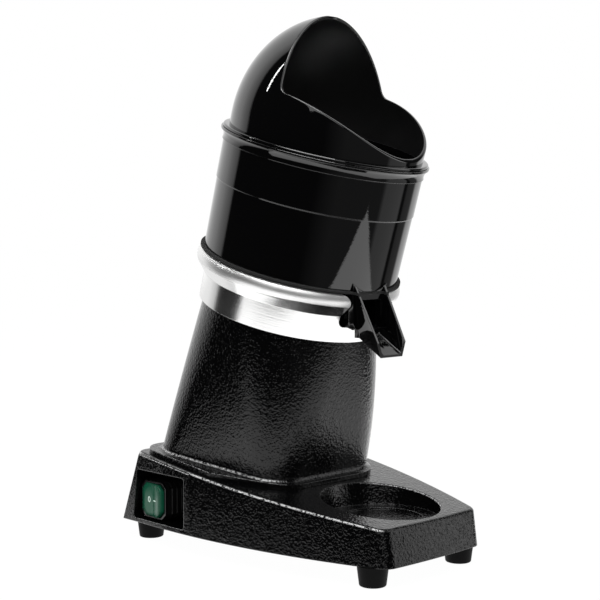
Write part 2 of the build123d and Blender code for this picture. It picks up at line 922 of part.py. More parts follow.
# Run capacitor in its clip, and the terminal block, on the bottom cover
capacitor_y = recess_y + recess_radius + base_wall + capacitor_gap + capacitor_radius
capacitor_z = cover_high + clip_band + capacitor_radius + press_fit
with BuildPart() as run_capacitor:
    with BuildSketch(Plane.YZ.offset(-capacitor_length / 2)):
        with Locations((capacitor_y, capacitor_z)):
            Circle(capacitor_radius)
    extrude(amount=capacitor_length)
    fillet(run_capacitor.edges().filter_by(GeomType.CIRCLE), capacitor_edge)
    with BuildSketch(Plane.YZ.offset(capacitor_length / 2)):
        with Locations((capacitor_y, capacitor_z)):
            with GridLocations(capacitor_radius, 0, 2, 1):
                Rectangle(clip_band, capacitor_stud)
    extrude(amount=2 * capacitor_stud)
pieces["run_capacitor"] = run_capacitor.part

with BuildPart() as capacitor_clip:
    with BuildSketch(Plane.YZ.offset(-clip_width / 2)):
        with Locations((capacitor_y, capacitor_z)):
            Circle(capacitor_radius + press_fit + clip_band)
        with Locations((capacitor_y, cover_high)):
            Rectangle(clip_foot, clip_band, align=(Align.CENTER, Align.MIN))
        with Locations((capacitor_y, capacitor_z)):
            Circle(capacitor_radius + press_fit, mode=Mode.SUBTRACT)
    extrude(amount=clip_width)
pieces["capacitor_clip"] = capacitor_clip.part

with BuildPart() as terminal_block:
    with BuildSketch(table.offset(cover_high)):
        with Locations((terminal_x, terminal_y)):
            Rectangle(terminal_length, terminal_width)
    extrude(amount=terminal_height)
    fillet(terminal_block.edges().filter_by(Axis.Z), bell_wall / 2)
    with BuildSketch(table.offset(cover_high + terminal_height)):
        with Locations((terminal_x, terminal_y)):
            with GridLocations(terminal_length / terminal_wells, 0, terminal_wells, 1):
                Circle(terminal_well_radius)
    extrude(amount=-terminal_well_depth, mode=Mode.SUBTRACT)
pieces["terminal_block"] = terminal_block.part

# Rocker switch in the pocket: body on the pocket floor, bezel, rocker on two trunnions
bezel_back_x = bezel_face_x + bezel_thickness
body_depth = pocket_floor_x - bezel_back_x
window_length = rocker_length + 2 * rocker_end_gap
window_height = rocker_height + 2 * rocker_side_gap
with BuildPart() as switch_body:
    with BuildSketch(Plane.YZ.offset(bezel_back_x)) as shell:
        with Locations((switch_y, switch_z)):
            Rectangle(body_length, body_height)
        chamfer(shell.vertices(), rocker_corner)
    extrude(amount=body_depth)
    for band in range(1, body_ribs + 1):
        with BuildSketch(Plane.YZ.offset(bezel_back_x + band * body_rib_pitch)) as rib:
            with Locations((switch_y, switch_z)):
                Rectangle(body_length + 2 * body_rib, body_height)
            chamfer(rib.vertices(), rocker_corner)
        extrude(amount=body_rib_pitch / 2)
    with BuildSketch(Plane.YZ.offset(bezel_back_x)) as window:
        with Locations((switch_y, switch_z)):
            Rectangle(window_length, window_height)
        chamfer(window.vertices(), rocker_corner)
    extrude(amount=body_cavity_depth, mode=Mode.SUBTRACT)
    with BuildSketch(table.offset(switch_z - body_height)):
        with Locations((rocker_pivot_x, switch_y)):
            Circle(trunnion_radius + running_fit)
    extrude(amount=2 * body_height, mode=Mode.SUBTRACT)
pieces["switch_body"] = switch_body.part

with BuildPart() as switch_bezel:
    with BuildSketch(Plane.YZ.offset(bezel_face_x)) as border:
        with Locations((switch_y, switch_z)):
            Rectangle(bezel_length, bezel_height)
        chamfer(border.vertices(), rocker_corner)
    extrude(amount=bezel_thickness)
    fillet(switch_bezel.faces().sort_by(Axis.X)[0].edges(), bezel_edge)
    with BuildSketch(Plane.YZ.offset(bezel_face_x)) as opening:
        with Locations((switch_y, switch_z)):
            Rectangle(window_length, window_height)
        chamfer(opening.vertices(), rocker_corner)
    extrude(amount=bezel_thickness, mode=Mode.SUBTRACT)
pieces["switch_bezel"] = switch_bezel.part

rocker_plane = Plane((rocker_pivot_x, switch_y, switch_z), x_dir=(-1, 0, 0), z_dir=(0, 0, 1))
rocker_section = rocker_plane.rotated((0, 0, rocker_tilt))
with BuildPart() as switch_rocker:
    with BuildSketch(rocker_section):
        Polygon(
            (rocker_rise, -rocker_length / 2),
            (rocker_rise - rocker_dip, 0),
            (rocker_rise, rocker_length / 2),
            (0, rocker_length / 2),
            (0, -rocker_length / 2),
            align=None,
        )
    extrude(amount=rocker_height / 2, both=True)
    chamfer(switch_rocker.edges().filter_by(Axis((0, 0, 0), rocker_section.x_dir)), rocker_corner)
    with BuildSketch(rocker_plane):
        Circle(rocker_barrel)
    extrude(amount=rocker_height / 2, both=True)
    with BuildSketch(rocker_plane):
        Circle(trunnion_radius)
    extrude(amount=rocker_height / 2 + trunnion_reach, both=True)
pieces["switch_rocker"] = switch_rocker.part

# Spout: upright plate against the bowl and an open trough that drops to the glass
spout_root = axis_foot + axis_dir * bowl_inside - axis_rear * spout_reach
spout_face = Plane(spout_root, x_dir=across, z_dir=(0, -1, 0))
with BuildPart() as spout_plate:
    with BuildSketch(spout_face) as plate:
        with Locations((0, plate_low)):
            Rectangle(2 * plate_half, plate_high - plate_low, align=(Align.CENTER, Align.MIN))
        fillet(plate.vertices().group_by(Axis.Y)[0], plate_corner)
        with Locations((0, trough_root_floor - trough_wall)):
            Rectangle(
                2 * (trough_floor_half + trough_wall),
                plate_high - trough_root_floor,
                align=(Align.CENTER, Align.MIN),
            )
    extrude(amount=plate_thickness)

# Juice bowl: socket in the collar, chimney round the shaft, stepped wall, flared rim
socket_outer = collar_inner - lift_fit
socket_inner = socket_outer - bowl_socket_wall
step_height = flange_high + bowl_step_height
rim_low = rim_high - rim_height
with BuildPart() as outlet_tube:
    with BuildSketch(half_section.offset(socket_inner)):
        with Locations((0, bowl_low)):
            Rectangle(
                2 * (outlet_half + outlet_wall),
                collar_high - outlet_top_gap - bowl_low,
                align=(Align.CENTER, Align.MIN),
            )
    extrude(amount=spout_reach)
    split(bisect_by=spout_face, keep=Keep.BOTTOM)

with BuildPart() as juice_bowl:
    with BuildSketch(half_section):
        half_ring(bowl_inner_radius, bowl_flange_radius, flange_low, flange_high)
    revolve(axis=bowl_axis)
    with BuildSketch(spout_face):
        with Locations((0, plate_low)):
            Rectangle(2 * plate_half, plate_high - plate_low, align=(Align.CENTER, Align.MIN))
    extrude(amount=2 * plate_thickness, mode=Mode.SUBTRACT)
    with BuildSketch(half_section):
        with BuildLine():
            Polyline(
                (rim_radius_low, rim_low),
                (bowl_radius_high, rim_low),
                (bowl_radius_mid + bowl_step, step_height),
                (bowl_radius_mid, step_height - bowl_step),
                (bowl_radius_low, flange_low),
                (socket_outer, flange_low),
                (socket_outer, bowl_low),
                (chimney_inner, bowl_low),
                (chimney_inner, chimney_high),
                (chimney_outer, chimney_high),
                (chimney_outer, bowl_inside),
                (socket_inner, bowl_inside),
                (socket_inner, bowl_shoulder),
                (bowl_inner_radius, bowl_shoulder),
                (bowl_inner_radius, rim_high),
                (rim_radius, rim_high),
                (rim_radius, rim_high - rim_lip),
            )
            ThreePointArc(
                (rim_radius, rim_high - rim_lip),
                (rim_radius_mid, rim_low + rim_mid_height),
                (rim_radius_low, rim_low),
            )
        make_face()
    revolve(axis=bowl_axis)
    lip_edges = juice_bowl.edges().filter_by(GeomType.CIRCLE).group_by(SortBy.RADIUS)[-1]
    fillet(lip_edges, rim_edge)
    add(outlet_tube.part)
    with BuildSketch(half_section.offset(socket_inner - bowl_socket_wall)):
        with Locations((0, bowl_inside)):
            Rectangle(2 * outlet_half, outlet_height, align=(Align.CENTER, Align.MIN))
    extrude(amount=spout_reach, mode=Mode.SUBTRACT)
pieces["juice_bowl"] = juice_bowl.part

with BuildPart() as bowl_gasket:
    with BuildSketch(half_section):
        half_ring(gasket_inner, bowl_radius_low, collar_high, flange_low)
    revolve(axis=bowl_axis)
pieces["bowl_gasket"] = bowl_gasket.part

trough_root = spout_face.offset(plate_thickness)
trough_tip = trough_root.offset(trough_length)
with BuildPart() as trough_space:
    with BuildSketch(trough_root) as root_space:
        Polygon(
            (-trough_floor_half, trough_root_floor),
            (trough_floor_half, trough_root_floor),
            (trough_root_half, trough_root_high),
            (-trough_root_half, trough_root_high),
            align=None,
        )
        fillet(root_space.vertices().group_by(Axis.Y)[0], trough_round)
    with BuildSketch(trough_tip) as tip_space:
        Polygon(
            (-trough_floor_half, trough_tip_floor),
            (trough_floor_half, trough_tip_floor),
            (trough_tip_half, trough_tip_high),
            (-trough_tip_half, trough_tip_high),
            align=None,
        )
        fillet(tip_space.vertices().group_by(Axis.Y)[0], trough_round)
    loft(ruled=True)

with BuildPart() as spout:
    with BuildSketch(trough_root):
        Polygon(
            (-trough_floor_half - trough_wall, trough_root_floor - trough_wall),
            (trough_floor_half + trough_wall, trough_root_floor - trough_wall),
            (trough_root_half + trough_wall, trough_root_high),
            (-trough_root_half - trough_wall, trough_root_high),
            align=None,
        )
    with BuildSketch(trough_tip):
        Polygon(
            (-trough_floor_half - trough_wall, trough_tip_floor - trough_wall),
            (trough_floor_half + trough_wall, trough_tip_floor - trough_wall),
            (trough_tip_half + trough_wall, trough_tip_high),
            (-trough_tip_half - trough_wall, trough_tip_high),
            align=None,
        )
    loft(ruled=True)
    add(trough_space.part, mode=Mode.SUBTRACT)
    add(spout_plate.part)
    with BuildSketch(half_section.offset(socket_inner - bowl_socket_wall)):
        with Locations((0, bowl_inside)):
            Rectangle(2 * outlet_half, outlet_height, align=(Align.CENTER, Align.MIN))
    extrude(amount=spout_reach, mode=Mode.SUBTRACT)
    with BuildSketch(level.offset(collar_high - outlet_top_gap)):
        Circle(bowl_radius_mid)
    extrude(amount=bowl_wall_height, mode=Mode.SUBTRACT)
pieces["spout"] = spout.part

# Strainer: slotted tray with a collar round the chimney
tray_radius = bowl_inner_radius - lift_fit
tray_collar = chimney_outer + lift_fit
with BuildPart() as strainer:
    with BuildSketch(half_section):
        half_ring(tray_collar, tray_radius, strainer_low, strainer_low + strainer_floor)
        half_ring(
            tray_collar,
            tray_collar + strainer_collar_wall,
            strainer_low,
            strainer_low + strainer_collar_height,
        )
        half_ring(
            tray_radius - strainer_wall,
            tray_radius,
            strainer_low,
            strainer_low + strainer_height,
        )
    revolve(axis=bowl_axis)
    with BuildSketch(level.offset(strainer_low)):
        with PolarLocations((slot_inner + slot_outer) / 2, strainer_slots):
            Rectangle(slot_outer - slot_inner, slot_width)
    extrude(amount=strainer_floor, mode=Mode.SUBTRACT)
pieces["strainer"] = strainer.part

# Reamer: ribbed cone that drops over the shaft and takes the drive pin in a slot
skirt_high = reamer_bottom + reamer_skirt_height
reamer_high = reamer_bottom + reamer_height
reamer_half = (skirt_high + reamer_high) / 2
half_radius = reamer_bulge * reamer_core_radius
cavity_high = chimney_high + lift_fit * 5
with BuildPart() as reamer:
    with BuildSketch(half_section):
        with BuildLine():
            Polyline(
                (0, reamer_high),
                (0, reamer_bottom),
                (reamer_skirt_radius, reamer_bottom),
                (reamer_skirt_radius, (reamer_bottom + skirt_high) / 2),
                (reamer_core_radius, skirt_high),
            )
            ThreePointArc(
                (reamer_core_radius, skirt_high),
                (half_radius, reamer_half),
                (reamer_tip_radius, reamer_high),
            )
            Line((reamer_tip_radius, reamer_high), (0, reamer_high))
        make_face()
    revolve(axis=bowl_axis)
    fillet(reamer.edges().sort_by(Axis(axis_foot, axis_dir))[-1], reamer_tip_edge)
    with BuildSketch(*around(rib_count)):
        with BuildLine():
            Polyline(
                (rib_tip_radius, reamer_high - rib_tip_drop),
                (rib_tip_radius, skirt_high - rib_depth),
                (reamer_core_radius + rib_depth, skirt_high - rib_depth),
                (reamer_core_radius + rib_depth, skirt_high),
            )
            ThreePointArc(
                (reamer_core_radius + rib_depth, skirt_high),
                (half_radius + rib_depth, reamer_half),
                (rib_tip_radius, reamer_high - rib_tip_drop),
            )
        make_face()
    extrude(amount=rib_width / 2, both=True)
    with BuildSketch(level.offset(reamer_bottom)):
        Circle(reamer_cavity_radius)
    extrude(amount=cavity_high - reamer_bottom, mode=Mode.SUBTRACT)
    with BuildSketch(level.offset(reamer_bottom)):
        Circle(shaft_radius + reamer_fit)
    extrude(amount=shaft_high + seat_gap - reamer_bottom, mode=Mode.SUBTRACT)
    with BuildSketch(level.offset(reamer_bottom)):
        Rectangle(drive_pin_length + 2 * lift_fit, 2 * (drive_pin_radius + reamer_fit))
    extrude(amount=pin_height + drive_pin_radius + seat_gap - reamer_bottom, mode=Mode.SUBTRACT)
pieces["reamer"] = reamer.part

# Splash hood: dome with an L-shaped mouth, turned a little on the bowl
dome_low = rim_high + hood_straight
skirt_outer = bowl_inner_radius - lift_fit
hood_inner = hood_radius - hood_wall
mouth_high = dome_low + hood_dome + hood_straight
mouth_top_rear = mouth_corner_rear + tan(radians(mouth_back_angle)) * (
    mouth_high - rim_high - mouth_corner_height
)
with BuildPart() as splash_hood:
    with BuildSketch(hood_half):
        with BuildLine():
            Polyline(
                (hood_inner, dome_low),
                (hood_inner, rim_high + hood_flange),
                (skirt_outer - hood_wall, rim_high),
                (skirt_outer - hood_wall, rim_high - hood_skirt_depth),
                (skirt_outer, rim_high - hood_skirt_depth),
                (skirt_outer, rim_high),
                (hood_flange_radius, rim_high),
                (hood_flange_radius, rim_high + hood_flange),
                (hood_radius, rim_high + hood_flange),
                (hood_radius, dome_low),
            )
            EllipticalCenterArc((0, dome_low), hood_radius, hood_dome, 0, arc_size=quarter_turn)
            Line((0, dome_low + hood_dome), (0, dome_low + hood_dome - hood_wall))
            EllipticalCenterArc((0, dome_low), hood_inner, hood_dome - hood_wall, 0, arc_size=quarter_turn)
        make_face()
    revolve(axis=bowl_axis)
    with BuildSketch(hood_section.offset(-bowl_flange_radius)) as mouth:
        with BuildLine():
            corner = (mouth_corner_rear, rim_high + mouth_corner_height)
            lip = (-hood_radius - mouth_overrun, rim_high + mouth_lip_height)
            ThreePointArc(corner, (-mouth_mid_front, rim_high + mouth_mid_height), lip)
            Polyline(
                lip,
                (-2 * hood_radius, rim_high + mouth_lip_height),
                (-2 * hood_radius, mouth_high),
                (mouth_top_rear, mouth_high),
                corner,
            )
        make_face()
        fillet(mouth.vertices().sort_by_distance(corner)[0], mouth_fillet)
    extrude(amount=2 * bowl_flange_radius, mode=Mode.SUBTRACT)
pieces["splash_hood"] = splash_hood.part

os.makedirs("parts", exist_ok=True)
for name, piece in pieces.items():
    piece.label = name
    export_step(piece, "parts/" + name + ".step")
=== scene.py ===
"""Looks of the citrus juicer: a finer hood, the rocker's marks, procedural finishes, studio and camera."""
import json
from math import asin, atan2, cos, pi, radians, sin, sqrt, tan

import bpy
from mathutils import Matrix, Vector


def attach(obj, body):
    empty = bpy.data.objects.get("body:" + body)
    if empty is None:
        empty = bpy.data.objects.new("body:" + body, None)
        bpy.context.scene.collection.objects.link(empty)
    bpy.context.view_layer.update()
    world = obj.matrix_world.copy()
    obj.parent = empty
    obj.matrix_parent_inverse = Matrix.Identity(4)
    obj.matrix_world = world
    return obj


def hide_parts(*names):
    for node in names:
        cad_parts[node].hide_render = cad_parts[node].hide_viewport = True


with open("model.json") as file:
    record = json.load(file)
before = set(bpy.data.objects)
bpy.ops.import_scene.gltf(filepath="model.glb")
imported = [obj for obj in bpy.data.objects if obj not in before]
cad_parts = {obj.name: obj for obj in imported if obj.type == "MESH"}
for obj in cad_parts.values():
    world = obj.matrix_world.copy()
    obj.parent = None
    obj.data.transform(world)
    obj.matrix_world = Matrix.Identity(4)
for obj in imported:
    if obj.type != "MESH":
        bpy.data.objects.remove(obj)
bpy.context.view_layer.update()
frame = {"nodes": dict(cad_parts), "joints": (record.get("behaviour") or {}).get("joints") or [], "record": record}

MM = 0.001
nodes = frame["nodes"]

# The bowl axis, read from the frame's joints
joints = {joint["name"]: joint for joint in frame["joints"]}
axis_up = Vector(joints["bowl_lift"]["axis"]).normalized()
axis_right = Vector((1, 0, 0))
axis_rear = axis_up.cross(axis_right)
on_axis = Vector(joints["motor_spin"]["pos_m"])
axis_foot = on_axis - axis_up * (on_axis.z / axis_up.z)


def place(across, rear, height):
    """Point in the frame, in metres, from millimetres along the bowl's own axes."""
    return axis_foot + (axis_right * across + axis_rear * rear + axis_up * height) * MM


# Camera of the photograph, fitted to the bowl's circles and the base's edges
SENSOR_WIDTH = 36.0
LENS_LENGTH = 75.04
CLIP_START = 10 * MM
CAMERA_PLACE = (-0.7078, -0.7191, 0.2494)
CAMERA_AZIMUTH = radians(-44.22)
CAMERA_ELEVATION = radians(2.79)


def add_photo_camera():
    """Camera at the photograph's place and angle."""
    data = bpy.data.cameras.new("photo_camera")
    data.sensor_width = SENSOR_WIDTH
    data.lens = LENS_LENGTH
    data.clip_start = CLIP_START
    right = Vector((cos(CAMERA_AZIMUTH), sin(CAMERA_AZIMUTH), 0))
    back = Vector((
        sin(CAMERA_AZIMUTH) * cos(CAMERA_ELEVATION),
        -cos(CAMERA_AZIMUTH) * cos(CAMERA_ELEVATION),
        sin(CAMERA_ELEVATION),
    ))
    turn = Matrix((right, back.cross(right), back)).transposed()
    camera = bpy.data.objects.new("photo_camera", data)
    camera.matrix_world = Matrix.Translation(CAMERA_PLACE) @ turn.to_4x4()
    bpy.context.scene.collection.objects.link(camera)
    bpy.context.scene.camera = camera


add_photo_camera()

# Node helpers
NUMBER = "NodeSocketFloat"
ARROW = "NodeSocketVector"


def new_group(name, inputs, outputs):
    """Empty shader node group; inputs and outputs are dictionaries of socket name to socket type."""
    group = bpy.data.node_groups.new(name, "ShaderNodeTree")
    for title, kind in inputs.items():
        group.interface.new_socket(title, in_out="INPUT", socket_type=kind)
    for title, kind in outputs.items():
        group.interface.new_socket(title, in_out="OUTPUT", socket_type=kind)
    group_in = group.nodes.new("NodeGroupInput")
    group_out = group.nodes.new("NodeGroupOutput")
    return group, group.nodes, group.links, group_in, group_out


def add_group(tree_nodes, group):
    """Places a shared effect in a material."""
    node = tree_nodes.new("ShaderNodeGroup")
    node.node_tree = group
    return node


def new_material(name):
    """Material with a principled shader; returns it with its tree's nodes, links and shader."""
    material = bpy.data.materials.new(name)
    material.use_nodes = True
    tree = material.node_tree
    return material, tree.nodes, tree.links, tree.nodes["Principled BSDF"]


def settings(node, **values):
    """Sets input sockets by name; an underscore stands for a space."""
    for key, value in values.items():
        node.inputs[key.replace("_", " ")].default_value = value


def sum_node(tree_nodes, links, operation, *terms):
    """Math node of the given operation; each term is a number or an output socket."""
    node = tree_nodes.new("ShaderNodeMath")
    node.operation = operation
    for socket, term in zip(node.inputs, terms):
        if isinstance(term, (int, float)):
            socket.default_value = term
        else:
            links.new(term, socket)
    return node.outputs["Value"]


def share_between(tree_nodes, links, value, low, high, at_low=0.0, at_high=1.0):
    """Goes evenly from at_low to at_high as the value goes from low to high, and stays there beyond them."""
    node = tree_nodes.new("ShaderNodeMapRange")
    settings(node, From_Min=low, From_Max=high, To_Min=at_low, To_Max=at_high)
    links.new(value, node.inputs["Value"])
    return node.outputs["Result"]


def distance_along(tree_nodes, links, spot, way):
    """How far a place lies along a fixed direction."""
    node = tree_nodes.new("ShaderNodeVectorMath")
    node.operation = "DOT_PRODUCT"
    node.inputs[1].default_value = way
    links.new(spot, node.inputs[0])
    return node.outputs["Value"]


def xyz(tree_nodes, links, arrow):
    """The three outputs X, Y and Z of a place or direction."""
    node = tree_nodes.new("ShaderNodeSeparateXYZ")
    links.new(arrow, node.inputs["Vector"])
    return node.outputs


def own_place(tree_nodes):
    """The object's own coordinates, which are the frame's at rest."""
    return tree_nodes.new("ShaderNodeTexCoord").outputs["Object"]


def scaled_place(tree_nodes, links, group_in):
    """The object's own coordinates times the group's Fineness."""
    finer = tree_nodes.new("ShaderNodeVectorMath")
    finer.operation = "SCALE"
    links.new(own_place(tree_nodes), finer.inputs["Vector"])
    links.new(group_in.outputs["Fineness"], finer.inputs["Scale"])
    return finer.outputs["Vector"]


def noise(tree_nodes, links, spot, **values):
    node = tree_nodes.new("ShaderNodeTexNoise")
    settings(node, **values)
    links.new(spot, node.inputs["Vector"])
    return node.outputs


# Shared effects
WRINKLE_SHARE = 0.9
WANDER_SHARE = 0.0022
WALL_LIMIT = 0.5
HOLLOW_REACH = 6 * MM
EDGE_SAMPLES = 6
# Where the painted edge highlight begins and where it is full: the normal's rise off walls and decks, its turn to
# the left, the open share of the surroundings and the grain's height
HIGHLIGHT_OFF_WALL = (0.4, 0.6)
HIGHLIGHT_OFF_DECK = (0.9, 0.75)
HIGHLIGHT_TO_LEFT = (-0.35, -0.6)
HIGHLIGHT_OUTWARD = (0.75, 0.95)
HIGHLIGHT_GRAIN = (0.75, 1.0)


def hammered_relief():
    """Hammered paint: worm-like wrinkles about a millimetre wide and a slow mottle."""
    group, tree_nodes, links, group_in, group_out = new_group(
        "hammered_relief", {"Fineness": NUMBER}, {"Height": NUMBER, "Mottle": NUMBER}
    )
    spot = scaled_place(tree_nodes, links, group_in)
    wander = noise(tree_nodes, links, spot, Scale=330.0, Detail=2.0)
    bend = tree_nodes.new("ShaderNodeMixRGB")
    bend.blend_type = "LINEAR_LIGHT"
    settings(bend, Fac=WANDER_SHARE)
    links.new(spot, bend.inputs["Color1"])
    links.new(wander["Color"], bend.inputs["Color2"])
    cells = tree_nodes.new("ShaderNodeTexVoronoi")
    cells.feature = "SMOOTH_F1"
    settings(cells, Scale=600.0, Smoothness=0.4)
    links.new(bend.outputs["Color"], cells.inputs["Vector"])
    wrinkle = noise(tree_nodes, links, spot, Scale=640.0, Detail=1.0, Distortion=0.2)
    swell = noise(tree_nodes, links, spot, Scale=30.0, Detail=3.0)
    relief = sum_node(
        tree_nodes, links, "MULTIPLY_ADD", wrinkle["Fac"], WRINKLE_SHARE, cells.outputs["Distance"]
    )
    links.new(relief, group_out.inputs["Height"])
    links.new(swell["Fac"], group_out.inputs["Mottle"])
    return group


def wipe_marks():
    """Faint dust and wipe marks that soften a gloss in patches."""
    group, tree_nodes, links, group_in, group_out = new_group(
        "wipe_marks", {"Fineness": NUMBER}, {"Patch": NUMBER, "Speck": NUMBER}
    )
    spot = scaled_place(tree_nodes, links, group_in)
    patch = noise(tree_nodes, links, spot, Scale=18.0, Detail=4.0, Distortion=0.6)
    speck = noise(tree_nodes, links, spot, Scale=900.0, Detail=1.0)
    links.new(patch["Fac"], group_out.inputs["Patch"])
    links.new(speck["Fac"], group_out.inputs["Speck"])
    return group


def turned_lines():
    """Fine lines left by turning and polishing round the bowl axis, stronger in patches."""
    group, tree_nodes, links, group_in, group_out = new_group(
        "turned_lines", {"Fineness": NUMBER}, {"Height": NUMBER}
    )
    spot = scaled_place(tree_nodes, links, group_in)
    lines = tree_nodes.new("ShaderNodeTexNoise")
    lines.noise_dimensions = "1D"
    settings(lines, Scale=700.0, Detail=3.0)
    links.new(distance_along(tree_nodes, links, spot, axis_up), lines.inputs["W"])
    cloud = noise(tree_nodes, links, spot, Scale=60.0, Detail=3.0)
    streaks = sum_node(tree_nodes, links, "MULTIPLY", lines.outputs["Fac"], cloud["Fac"])
    links.new(streaks, group_out.inputs["Height"])
    return group


def height_band():
    """Band between two heights along the bowl axis, in metres."""
    group, tree_nodes, links, group_in, group_out = new_group(
        "height_band", {"Low": NUMBER, "High": NUMBER}, {"Mask": NUMBER}
    )
    along = distance_along(tree_nodes, links, own_place(tree_nodes), axis_up)
    height = sum_node(tree_nodes, links, "SUBTRACT", along, axis_foot.dot(axis_up))
    over = sum_node(tree_nodes, links, "GREATER_THAN", height, group_in.outputs["Low"])
    under = sum_node(tree_nodes, links, "LESS_THAN", height, group_in.outputs["High"])
    links.new(sum_node(tree_nodes, links, "MULTIPLY", over, under), group_out.inputs["Mask"])
    return group


def leaning_wall():
    """Walls in front of a given place lean a little more than their solids, but not those of a hollow."""
    group, tree_nodes, links, group_in, group_out = new_group(
        "leaning_wall",
        {"Facing": ARROW, "Lean": NUMBER, "Rear End": NUMBER, "Hollow": ARROW, "Hollow Radius": NUMBER},
        {"Normal": ARROW},
    )
    standing = tree_nodes.new("ShaderNodeNewGeometry").outputs["Position"]
    facing = xyz(tree_nodes, links, group_in.outputs["Facing"])
    level = sum_node(tree_nodes, links, "ABSOLUTE", facing["Z"])
    upright = sum_node(tree_nodes, links, "LESS_THAN", level, WALL_LIMIT)
    rear = xyz(tree_nodes, links, standing)["Y"]
    ahead = sum_node(tree_nodes, links, "LESS_THAN", rear, group_in.outputs["Rear End"])
    from_hollow = tree_nodes.new("ShaderNodeVectorMath")
    from_hollow.operation = "DISTANCE"
    links.new(standing, from_hollow.inputs[0])
    links.new(group_in.outputs["Hollow"], from_hollow.inputs[1])
    outside = sum_node(
        tree_nodes, links, "GREATER_THAN", from_hollow.outputs["Value"], group_in.outputs["Hollow Radius"]
    )
    outer_wall = sum_node(tree_nodes, links, "MULTIPLY", upright, outside)
    leaning = sum_node(tree_nodes, links, "MULTIPLY", outer_wall, ahead)
    rise = sum_node(tree_nodes, links, "MULTIPLY_ADD", leaning, group_in.outputs["Lean"], facing["Z"])
    leaned = tree_nodes.new("ShaderNodeCombineXYZ")
    links.new(facing["X"], leaned.inputs["X"])
    links.new(facing["Y"], leaned.inputs["Y"])
    links.new(rise, leaned.inputs["Z"])
    unit = tree_nodes.new("ShaderNodeVectorMath")
    unit.operation = "NORMALIZE"
    links.new(leaned.outputs["Vector"], unit.inputs[0])
    links.new(unit.outputs["Vector"], group_out.inputs["Normal"])
    return group


def painted_edge_highlight():
    """Painted highlight: paint made lighter in specks along the upper edges that face left, on the switch side."""
    group, tree_nodes, links, group_in, group_out = new_group(
        "painted_edge_highlight", {"Rounded": ARROW, "Grain": NUMBER}, {"Highlight": NUMBER}
    )
    facing = xyz(tree_nodes, links, group_in.outputs["Rounded"])
    hollow = tree_nodes.new("ShaderNodeAmbientOcclusion")
    hollow.samples = EDGE_SAMPLES
    hollow.only_local = True
    settings(hollow, Distance=HOLLOW_REACH)
    off_wall = share_between(tree_nodes, links, facing["Z"], *HIGHLIGHT_OFF_WALL)
    off_deck = share_between(tree_nodes, links, facing["Z"], *HIGHLIGHT_OFF_DECK)
    to_left = share_between(tree_nodes, links, facing["X"], *HIGHLIGHT_TO_LEFT)
    outward = share_between(tree_nodes, links, hollow.outputs["AO"], *HIGHLIGHT_OUTWARD)
    highlight_share = share_between(tree_nodes, links, group_in.outputs["Grain"], *HIGHLIGHT_GRAIN)
    for limit in (off_wall, off_deck, to_left, outward):
        highlight_share = sum_node(tree_nodes, links, "MULTIPLY", highlight_share, limit)
    links.new(highlight_share, group_out.inputs["Highlight"])
    return group


# Each all-over effect with its output for patches and its output for relief
HAMMERED = (hammered_relief(), "Mottle", "Height")
WIPED = (wipe_marks(), "Patch", "Speck")
turned_group = turned_lines()
band_group = height_band()
lean_group = leaning_wall()
# Painted highlight on upper edges that face left, mixed into the colour by surface()
edge_highlight_group = painted_edge_highlight()

PATCH_LOW, PATCH_HIGH = 0.3, 0.7


def bumped(tree_nodes, links, height, size, facing):
    """Normal with a relief of the given size in millimetres."""
    node = tree_nodes.new("ShaderNodeBump")
    settings(node, Strength=1.0, Distance=size * MM)
    links.new(height, node.inputs["Height"])
    links.new(facing, node.inputs["Normal"])
    return node.outputs["Normal"]


def grey(level):
    return (level, level, level)


def surface(
    name, dark, light, rough, effect=WIPED, fineness=1.0, relief=0.01, edge=0.4,
    dull=None, worn=None, lean=None, turned=None, **shader_values,
):
    """Material whose colour and roughness wander between two values with an effect's patches.

    Sizes are in millimetres: relief and turned are bump heights, edge is the radius of rounded edges. dull is
    the low and high end of a band with its extra roughness, worn the grey of the painted highlight on upper
    edges that face left, and lean the inputs of leaning_wall. The shader's values are uniform numbers for its own
    sockets.
    """
    material, tree_nodes, links, shader = new_material(name)
    settings(shader, **shader_values)
    group, patch_output, relief_output = effect
    finish = add_group(tree_nodes, group)
    settings(finish, Fineness=fineness)
    patch = finish.outputs[patch_output]
    grain = finish.outputs[relief_output]

    mixed = tree_nodes.new("ShaderNodeMixRGB")
    settings(mixed, Color1=(*dark, 1), Color2=(*light, 1))
    links.new(patch, mixed.inputs["Fac"])
    colour = mixed.outputs["Color"]
    roughness = share_between(tree_nodes, links, patch, PATCH_LOW, PATCH_HIGH, *rough)
    if dull:
        low, high, dullness = dull
        band = add_group(tree_nodes, band_group)
        settings(band, Low=low * MM, High=high * MM)
        extra = sum_node(tree_nodes, links, "MULTIPLY", band.outputs["Mask"], dullness)
        roughness = sum_node(tree_nodes, links, "ADD", extra, roughness)

    if edge:
        rounded = tree_nodes.new("ShaderNodeBevel")
        rounded.samples = EDGE_SAMPLES
        settings(rounded, Radius=edge * MM)
    else:
        rounded = tree_nodes.new("ShaderNodeNewGeometry")
    facing = rounded.outputs["Normal"]
    # Painted highlight: a lighter grey mixed into the colour on upper convex edges that face left
    if worn:
        edges = add_group(tree_nodes, edge_highlight_group)
        links.new(facing, edges.inputs["Rounded"])
        links.new(grain, edges.inputs["Grain"])
        highlight_mix = tree_nodes.new("ShaderNodeMixRGB")
        settings(highlight_mix, Color2=(*grey(worn), 1))
        links.new(edges.outputs["Highlight"], highlight_mix.inputs["Fac"])
        links.new(colour, highlight_mix.inputs["Color1"])
        colour = highlight_mix.outputs["Color"]
    if lean:
        leaning = add_group(tree_nodes, lean_group)
        settings(leaning, **lean)
        links.new(facing, leaning.inputs["Facing"])
        facing = leaning.outputs["Normal"]
    if turned:
        lines = add_group(tree_nodes, turned_group)
        settings(lines, Fineness=fineness)
        facing = bumped(tree_nodes, links, lines.outputs["Height"], turned, facing)
    facing = bumped(tree_nodes, links, grain, relief, facing)
    links.new(colour, shader.inputs["Base Color"])
    links.new(roughness, shader.inputs["Roughness"])
    links.new(facing, shader.inputs["Normal"])
    return material


